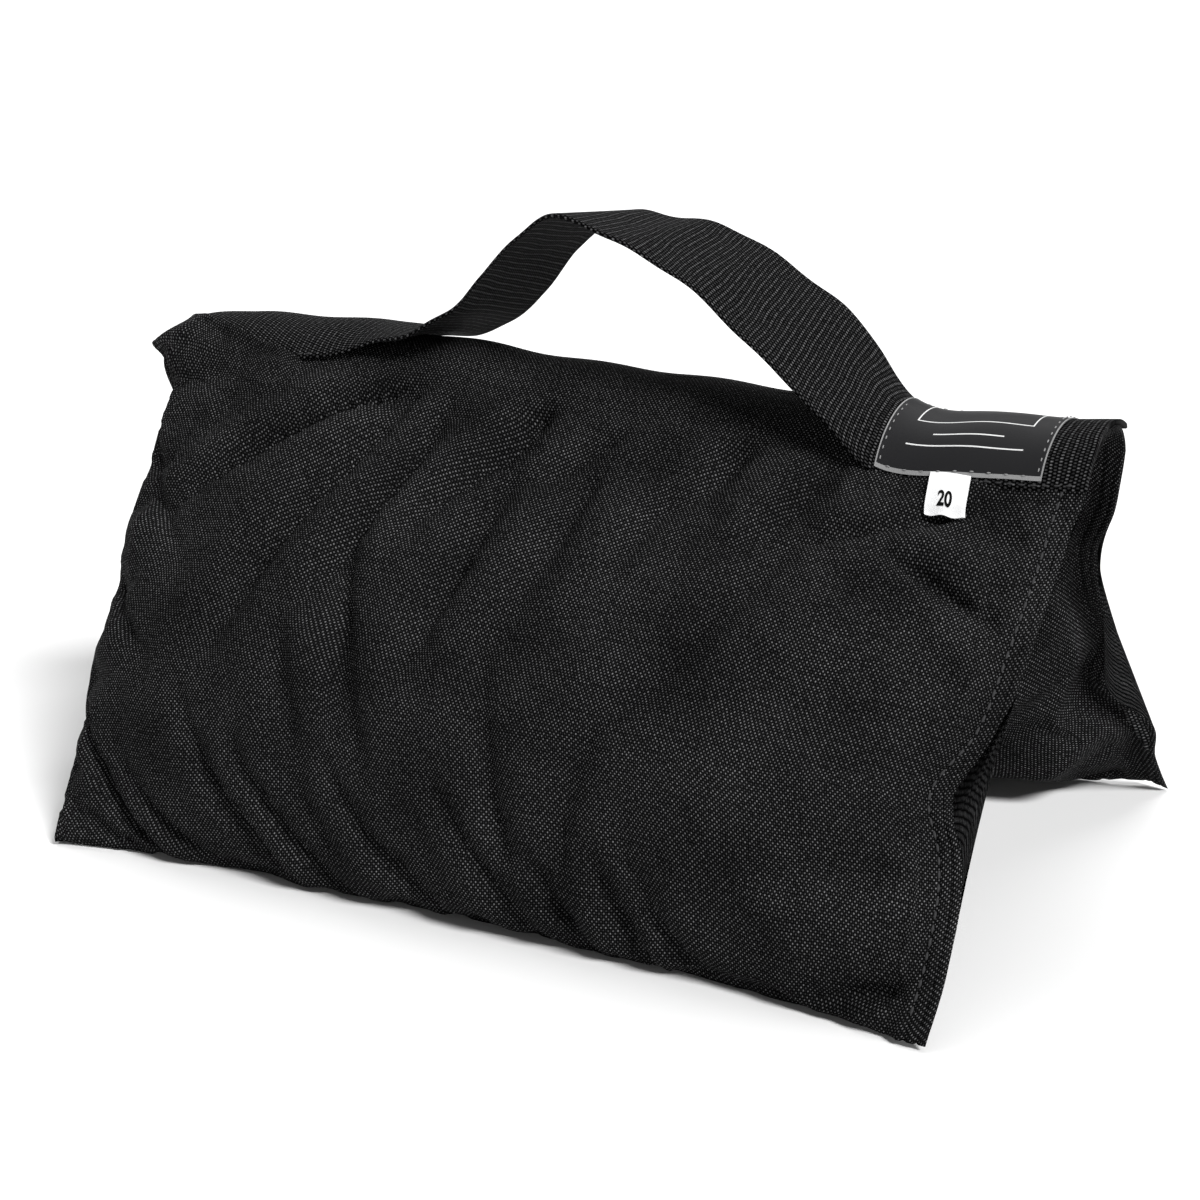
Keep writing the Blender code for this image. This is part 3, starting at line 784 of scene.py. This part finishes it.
class Nodes:
    """Short helpers for building one material's node tree."""

    def __init__(self, name):
        self.material = bpy.data.materials.new(name)
        self.material.use_nodes = True
        self.tree = self.material.node_tree
        self.shader = self.tree.nodes["Principled BSDF"]

    def link(self, source, target):
        self.tree.links.new(source, target)

    def math(self, operation, *values):
        node = self.tree.nodes.new("ShaderNodeMath")
        node.operation = operation
        for i, value in enumerate(values):
            if isinstance(value, (int, float)):
                node.inputs[i].default_value = value
            else:
                self.link(value, node.inputs[i])
        return node.outputs[0]

    def times(self, a, b):
        return self.math("MULTIPLY", a, b)

    def plus(self, a, b):
        return self.math("ADD", a, b)

    def uv(self):
        """Places across and along the cloth, and both as one vector."""
        node = self.tree.nodes.new("ShaderNodeUVMap")
        node.uv_map = "cloth"
        split = self.tree.nodes.new("ShaderNodeSeparateXYZ")
        self.link(node.outputs[0], split.inputs[0])
        return split.outputs[0], split.outputs[1], node.outputs[0]

    def noise(self, vector, scale, detail):
        node = self.tree.nodes.new("ShaderNodeTexNoise")
        node.inputs["Scale"].default_value = scale
        node.inputs["Detail"].default_value = detail
        self.link(vector, node.inputs["Vector"])
        return node.outputs["Fac"]

    def mix(self, share, dark, light):
        node = self.tree.nodes.new("ShaderNodeMix")
        node.data_type = "RGBA"
        node.inputs[6].default_value = (*dark, 1)
        node.inputs[7].default_value = (*light, 1)
        self.link(share, node.inputs[0])
        return node.outputs[2]

    def bump(self, height, distance, strength):
        node = self.tree.nodes.new("ShaderNodeBump")
        node.inputs["Distance"].default_value = distance
        node.inputs["Strength"].default_value = strength
        self.link(height, node.inputs["Height"])
        self.link(node.outputs[0], self.shader.inputs["Normal"])

    def finish(self, colour, roughness, specular=0.03, sheen=0.0):
        if isinstance(colour, tuple):
            self.shader.inputs["Base Color"].default_value = (*colour, 1)
        else:
            self.link(colour, self.shader.inputs["Base Color"])
        self.shader.inputs["Roughness"].default_value = roughness
        self.shader.inputs["Specular IOR Level"].default_value = specular
        self.shader.inputs["Sheen Weight"].default_value = sheen
        self.shader.inputs["Sheen Roughness"].default_value = 0.4
        return self.material


def cordura():
    """Coarse plain-weave nylon: a checkerboard of short shiny floats, a little under a millimetre apart,
    whose shine is painted into the colour as light dots.
    """
    n = Nodes("cordura")
    u, v, place = n.uv()
    wave_u = n.math("SINE", n.times(u, math.pi / WARP_PITCH))
    wave_v = n.math("SINE", n.times(v, math.pi / WEFT_PITCH))
    cell = n.times(wave_u, wave_v)
    warp = n.math("MAXIMUM", cell, 0.0)
    weft = n.math("MAXIMUM", n.times(cell, -1.0), 0.0)
    uneven = n.plus(n.noise(place, scale=780, detail=1.0), -0.36)
    sparkle = n.math("MAXIMUM", n.times(uneven, 3.4), 0.0)
    # Painted highlight: light colour on the warp floats, brighter at random, and faintly on the weft,
    # stands in for their glints.
    painted_glints = n.times(n.math("POWER", warp, 1.8), n.plus(sparkle, 0.22))
    light = n.plus(painted_glints, n.times(weft, 0.06))
    share = n.times(light, n.plus(n.times(n.noise(place, scale=28, detail=3.0), 1.5), 0.15))
    n.bump(n.plus(warp, n.times(weft, 0.6)), distance=0.0002, strength=1.0)
    # The dark colour is the cloth's own black; the light one is the painted highlight of the floats.
    colour = n.mix(share, (0.0006, 0.0006, 0.0007), (0.16, 0.16, 0.163))
    return n.finish(colour, roughness=0.55, specular=0.006)


def webbing_cloth():
    """Ribbed nylon webbing: rows of small loops across it, every other row lower and duller, with a painted
    highlight on the loop tops.
    """
    n = Nodes("webbing")
    u, v, place = n.uv()
    drift = n.times(n.plus(n.noise(place, scale=45, detail=1.0), -0.5), 0.0042)
    rows = n.times(n.plus(u, drift), 1 / WEB_ROW)
    parity = n.math("MODULO", n.math("FLOOR", n.plus(rows, 2000.0)), 2.0)
    swell = n.math("SINE", n.times(n.math("FRACT", rows), math.pi))
    along = n.plus(n.times(v, 1 / WEB_LOOP), n.times(parity, 0.5))
    beads = n.math("ABSOLUTE", n.math("SINE", n.times(along, math.pi)))
    height = n.times(n.math("POWER", swell, 0.6), n.math("POWER", beads, 1.4))
    height = n.times(height, n.plus(0.68, n.times(parity, 0.32)))
    sparkle = n.plus(n.times(n.noise(place, scale=700, detail=1.0), 2.4), -0.42)
    # Painted highlight: the loop tops are light in colour, brighter at random, standing in for their
    # glints.
    share = n.times(n.math("POWER", height, 2.4), sparkle)
    n.bump(height, distance=0.0006, strength=1.0)
    # The dark colour is the webbing's own black; the light one is the painted highlight of the loop tops.
    colour = n.mix(share, (0.0005, 0.0005, 0.0006), (0.135, 0.135, 0.138))
    return n.finish(colour, roughness=0.5, specular=0.004)


def plain(name, colour, roughness):
    return Nodes(name).finish(colour, roughness)


def satin():
    """White satin ribbon: fine ribs and a soft gloss."""
    n = Nodes("white_satin")
    _, v, place = n.uv()
    n.bump(n.times(n.math("SINE", n.times(v, math.tau / 0.0004)), 0.5), distance=0.00003, strength=0.5)
    colour = n.mix(n.noise(place, scale=300, detail=2.0), (0.66, 0.66, 0.67), (0.86, 0.86, 0.86))
    return n.finish(colour, roughness=0.42, specular=0.4)


def label_cloth():
    """Dark satin with a thin light border, a blank frame and two blank write-on lines."""
    n = Nodes("label_satin")
    u, v, place = n.uv()

    def box(y, half_x, half_y):
        inside_x = n.math("LESS_THAN", n.math("ABSOLUTE", u), half_x)
        inside_y = n.math("LESS_THAN", n.math("ABSOLUTE", n.plus(v, -y)), half_y)
        return n.times(inside_x, inside_y)

    inside = box(0.0, LABEL_WIDTH / 2 - LABEL_BORDER, LABEL_DEPTH / 2 - LABEL_BORDER)
    border = n.math("SUBTRACT", 1.0, inside)
    panel = n.math("SUBTRACT", box(FRAME_Y, 0.0215, 0.009), box(FRAME_Y, 0.021, 0.0085))
    bars = n.plus(box(-0.0065, 0.013, RULE_HALF), box(-0.012, 0.0215, RULE_HALF))
    marks = n.math("MINIMUM", n.plus(n.plus(n.times(border, 0.35), panel), bars), 1.0)
    n.bump(n.noise(place, scale=1500, detail=1.0), distance=0.00006, strength=0.4)
    colour = n.mix(marks, (0.016, 0.016, 0.017), (0.62, 0.62, 0.62))
    return n.finish(colour, roughness=0.42, sheen=0.02)


# ---------------- assembly


def bend(piece, side):
    """Bakes a piece's placement into its mesh."""
    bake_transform(piece)


def make_covers(cloth):
    """The skin of each pouch; the front one has the ridge's cloth too."""
    for side, name in SIDE_NAMES.items():
        cover = add(f"{name}_cover", cover_mesh(f"{name}_cover", side), cloth)
        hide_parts(f"{name}_outer_panel", f"{name}_inner_panel", f"{name}_liner", f"{name}_sand")
        if side < 0:
            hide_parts("ridge_cloth")
        bend(cover, side)


def make_webbing(finish):
    """Four runs of one webbing: two sewn down, and the two halves of the handle between them."""

    def run(name, x_from, x_to, stations):
        return add(name, webbing_mesh(name, x_from, x_to, stations), finish)

    sewn_left = run("webbing_left_run", -1.0, LEFT_SPLIT_X, 150)
    rising = run("handle_left_run", LEFT_SPLIT_X, PEAK_X, 170)
    falling = run("handle_right_run", PEAK_X, RIGHT_SPLIT_X, 220)
    sewn_right = run("webbing_right_run", RIGHT_SPLIT_X, 1.0, 110)
    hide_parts("webbing_left")
    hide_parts("handle_webbing")
    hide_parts("webbing_right")
    bend(sewn_left, 1)
    bend(sewn_right, -1)
    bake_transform(rising)
    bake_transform(falling)


def make_web_stitching(thread):
    """The two thread rows along each sewn length's edges."""
    for name, x_from, x_to, side in (
        ("webbing_stitching_left", -0.188, -0.11, 1),
        ("webbing_stitching_right", 0.14, 0.21, -1),
    ):
        t = np.linspace(parameter_at(x_from), parameter_at(x_to), 120)
        lines = [web_row(t, across, WEB_THICKNESS / 2) for across in (-0.93, 0.93)]
        rows = [row_places(*line, pitch=0.0042, share=0.62) for line in lines]
        row = stitches(name + "_row", *joined(rows), thread, length=0.0027, radius=0.00038)
        bend(row, side)
        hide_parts(name)


def make_label(finish, thread):
    """The label lies on the webbing, wrapped over the ridge with it."""
    t = np.linspace(parameter_at(LABEL_START_X), parameter_at(LABEL_END_X), 60)
    across = np.linspace(-LABEL_SHARE, LABEL_SHARE, 40)
    ripple = 0.00024 * ripples(t[:, None] * 0.45, across[None, :] * 0.025, 0.03, 3)
    level = WEB_THICKNESS / 2 + WEB_GAP
    top = web_surface(t, across, level + SHEET_THICKNESS)
    under = web_surface(t, across, level)
    top[..., 2] += ripple
    under[..., 2] += ripple
    patch = add("label_patch", sheet_mesh("label_patch", top, under), finish)
    bend(patch, -1)
    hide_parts("label")
    level = WEB_THICKNESS / 2 + 0.0008
    rows = []
    for x in (LABEL_START_X + LABEL_INSET, LABEL_END_X - LABEL_INSET):
        line = web_row(np.array([parameter_at(x)]), across * 0.94, level)
        rows.append(row_places(*line, pitch=0.004, share=0.4))
    for edge in (-1, 1):
        line = web_row(np.linspace(t[2], t[-3], 80), edge * (LABEL_SHARE - 0.06), level)
        rows.append(row_places(*line, pitch=0.0062, share=0.3))
    row = stitches("label_stitch_row", *joined(rows), thread, length=0.0016, radius=0.00028)
    bend(row, -1)
    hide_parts("label_stitching")


def sheet_mesh(name, top, under):
    """A thin closed sheet between two grids, with texture places centred on it."""
    columns, rows = top.shape[:2]
    size = columns * rows
    index = np.arange(size).reshape(columns, rows)
    quads = np.stack([index[:-1, :-1], index[1:, :-1], index[1:, 1:], index[:-1, 1:]], -1).reshape(-1, 4)
    faces = quads.tolist() + (quads[:, ::-1] + size).tolist()
    for edge in (index[:, 0], index[-1, :], index[::-1, -1], index[0, ::-1]):
        for a, b in zip(edge.tolist(), edge[1:].tolist()):
            faces.append([a, a + size, b + size, b])
    mesh = smooth_mesh(name, np.stack([top, under]), faces)
    along = run_lengths(top[:, rows // 2])
    over = run_lengths(top[columns // 2])
    u = along[:, None] - along[-1] / 2
    v = over[-1] / 2 - over[None, :]
    uv = np.stack(np.broadcast_arrays(u, v), -1).reshape(-1, 2)
    add_uv(mesh, np.concatenate([uv, uv]))
    mesh.set_sharp_from_angle(angle=math.radians(50))
    return mesh


def outer_surface(side):
    """A pouch's finished outer face: points, normals, distances from the side edges, and shares down."""
    grid, distance, v = cover_points(side)
    points = grid[:, pouch_rows(v)]
    normals = grid_normals(points, side)
    face = slice(0, OUTER_ROWS)
    return points[:, face], normals[:, face], distance[:, face], v[face]


def make_topstitching(thread):
    """A row of stitches down each side of each pouch, found among the columns near its edge."""
    near_left = slice(0, 30)
    near_right = slice(-1, -31, -1)
    for side, name in SIDE_NAMES.items():
        points, normals, distance, v = outer_surface(side)
        for near, label in ((near_left, "left"), (near_right, "right")):
            rows = range(2, len(v) - 3)
            line, above = (
                np.array([read_line(STITCH_INSET, distance[near, j], values[near, j]) for j in rows])
                for values in (points, normals)
            )
            line = line + above * 0.0004
            places, chosen = row_places(line, above, STITCH_PITCH, share=0.66)
            node = f"{name}_topstitch_{label}"
            length = STITCH_PITCH * 0.68
            row = stitches(node + "_row", places, chosen, thread, length, radius=0.00055)
            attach(row, f"{name}_pouch")
            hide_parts(node)


def sampled(values, column, row):
    """Reads a grid of points between its columns and rows."""
    c = np.clip(column, 0, values.shape[0] - 1.001)
    r = np.clip(row, 0, values.shape[1] - 1.001)
    i, j = c.astype(int), r.astype(int)
    a, b = (c - i)[..., None], (r - j)[..., None]
    low = values[i, j] * (1 - b) + values[i, j + 1] * b
    high = values[i + 1, j] * (1 - b) + values[i + 1, j + 1] * b
    return low * (1 - a) + high * a


def make_hem(finish):
    """The front panel's top hem at the left end: it curls over the webbing's edge and wraps its cut end."""
    grid = cover_points(-1)[0]
    normals = grid_normals(grid, -1)
    x = np.linspace(LEFT_TIP_X, HEM_END_X, 110)[:, None]
    top_angle = np.radians(through(HEM_ANGLES, x))
    per_radian = (ARCH_ROWS - 1) / (hinge_angle(x) + LAP_ANGLE[-1])
    first = (top_angle + LAP_ANGLE[-1]) * per_radian
    rows = first + (HEM_LAST_ROW - first) * np.linspace(0, 1, 44)[None, :]
    columns = np.broadcast_to(np.interp(x, grid[:, 0, 0], np.arange(len(grid))), rows.shape)
    base = sampled(grid, columns, rows)
    normal = sampled(normals, columns, rows)
    from_hem = run_lengths(base, 1)
    fall = smooth_step((rows - HEM_FALL_ROW) / 6.5)
    ending = smooth_step((x - (HEM_END_X - 0.022)) / 0.02)
    tip = smooth_step((LEFT_TIP_X + 0.007 - x) / 0.007)
    over = (WEB_GAP + WEB_THICKNESS + 0.0011) * (1 - fall) - HEM_SINK * fall
    roll = 0.0022 * bell(from_hem, 0.0026) * (1 - fall) * smooth_step((x - LEFT_TIP_X - 0.003) / 0.02)
    height = (over + roll) * (1 - ending) - HEM_SINK * ending - 0.0035 * tip
    height += 0.0004 * ripples(x, from_hem, 0.016, 53) * (1 - fall)
    top = base + normal * height[..., None]
    under = base + normal * (height - 0.0009)[..., None]
    hem = add("front_hem_curl", sheet_mesh("front_hem_curl", top, under), finish)
    bend(hem, -1)


def tag_places():
    """A function from (share across, share down, height) to a point of the hanging tag."""
    points, normals = outer_surface(-1)[:2]
    column = int(np.argmin(np.abs(points[:, 3, 0] - TAG_X)))
    near = slice(column - 4, column + 5)
    strip = points[near].mean(0)
    facing = normals[near].mean(0)
    lengths = run_lengths(strip)

    def place(u, w, above):
        along = TAG_START + TAG_REACH * w
        lift = 0.0006 + 0.0022 * w + 0.0003 * math.sin(3 * u) + above
        spot = read_line(along, lengths, strip) + read_line(along, lengths, facing) * lift
        spot[0] = TAG_X + TAG_WIDTH * (u - 0.5) + 0.0036 * w + 0.0003 * math.sin(5 * w)
        spot[2] -= 0.0004 * math.sin(11 * u) * w
        return spot

    return place


def numeral_mesh(place):
    """The weight as a plain number, laid on the tag."""
    curve = bpy.data.curves.new("numeral", "FONT")
    curve.body = "20"
    curve.size = 0.0074
    curve.offset = 0.0002
    curve.align_x = "CENTER"
    curve.extrude = 0.00006
    writing = placed("numeral", curve)
    graph = bpy.context.evaluated_depsgraph_get()
    mesh = bpy.data.meshes.new_from_object(writing.evaluated_get(graph))
    bpy.data.objects.remove(writing)
    for vertex in mesh.vertices:
        across = 0.47 + (0.72 * vertex.co.x - 0.04 * (vertex.co.y - 0.003)) / TAG_WIDTH
        down = 0.76 - vertex.co.y / TAG_REACH
        vertex.co = Vector(place(across, down, 0.00042 + vertex.co.z))
    mesh.name = "weight_numeral"
    return mesh


def make_tag(satin, ink):
    """A small white flap under the webbing's front edge, with its number."""
    place = tag_places()
    u = np.linspace(0, 1, 16)
    w = np.linspace(0, 1, 18)
    top = np.array([[place(a, b, SHEET_THICKNESS) for b in w] for a in u])
    under = np.array([[place(a, b, 0.0) for b in w] for a in u])
    tag = add("weight_tag_flap", sheet_mesh("weight_tag_flap", top, under), satin)
    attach(tag, "tag")
    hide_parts("weight_tag")
    numeral = add("weight_numeral", numeral_mesh(place), ink)
    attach(numeral, "tag")


def main():
    cloth = cordura()
    thread = plain("black_thread", (0.036, 0.036, 0.037), 0.5)
    make_covers(cloth)
    make_webbing(webbing_cloth())
    make_web_stitching(thread)
    make_label(label_cloth(), plain("grey_thread", (0.22, 0.22, 0.22), 0.5))
    make_topstitching(thread)
    make_hem(cloth)
    make_tag(satin(), plain("black_ink", (0.004, 0.004, 0.004), 0.6))
    stage()


# ---------------- stage, light and camera


def stage():
    """A pale floor, a sky that darkens upwards, and two broad soft lights, the stronger from the right."""
    bpy.context.scene.view_settings.view_transform = "Standard"
    bpy.ops.mesh.primitive_plane_add(size=60, location=(0, 0, -0.0004))
    floor = bpy.context.object
    floor.name = "floor"
    floor.data.materials.append(plain("floor_paper", (0.78, 0.78, 0.78), 0.9))
    floor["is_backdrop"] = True
    world = bpy.data.worlds.new("studio")
    bpy.context.scene.world = world
    world.use_nodes = True
    tree = world.node_tree
    direction = tree.nodes.new("ShaderNodeTexCoord")
    split = tree.nodes.new("ShaderNodeSeparateXYZ")
    fade = tree.nodes.new("ShaderNodeMapRange")
    fade.interpolation_type = "SMOOTHSTEP"
    for socket, value in (("From Max", 0.45), ("To Min", 1.05), ("To Max", 0.08)):
        fade.inputs[socket].default_value = value
    tree.links.new(direction.outputs["Generated"], split.inputs[0])
    tree.links.new(split.outputs[2], fade.inputs[0])
    tree.links.new(fade.outputs[0], tree.nodes["Background"].inputs[1])
    tree.nodes["Background"].inputs[0].default_value = (1, 1, 1, 1)
    soft_light("key", (0.95, -0.36, 1.00), 4.2, 20)
    soft_light("top_back", (-0.3, 0.6, 1.1), 2.3, 60)


def soft_light(name, towards, strength, spread_degrees):
    """Even light from one direction, as wide as a large softbox."""
    light = bpy.data.lights.new(name, "SUN")
    light.energy = strength
    light.angle = math.radians(spread_degrees)
    placed(name, light).rotation_euler = Vector(towards).to_track_quat("Z", "Y").to_euler()


def camera():
    """A short telephoto view of the front, from the right and a little above."""
    azimuth, elevation, roll = (math.radians(degrees) for degrees in (30.3, 16.7, -1.1))
    distance = 0.928
    target = Vector((0.005, 0, 0.09))
    level = Vector((math.sin(azimuth), -math.cos(azimuth), 0))
    back = level * math.cos(elevation) + Vector((0, 0, math.sin(elevation)))
    data = bpy.data.cameras.new("camera")
    data.lens = 70
    made = placed("camera", data)
    turn = (-back).to_track_quat("-Z", "Y").to_matrix() @ Matrix.Rotation(roll, 3, "Z")
    made.matrix_world = Matrix.Translation(target + back * distance) @ turn.to_4x4()
    bpy.context.scene.camera = made


camera()
main()


def corners(bounds):
    return [[float(value) for value in corner] for corner in bounds]


{"cad": corners(CAD_BOUNDS), "visual": corners(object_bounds())}
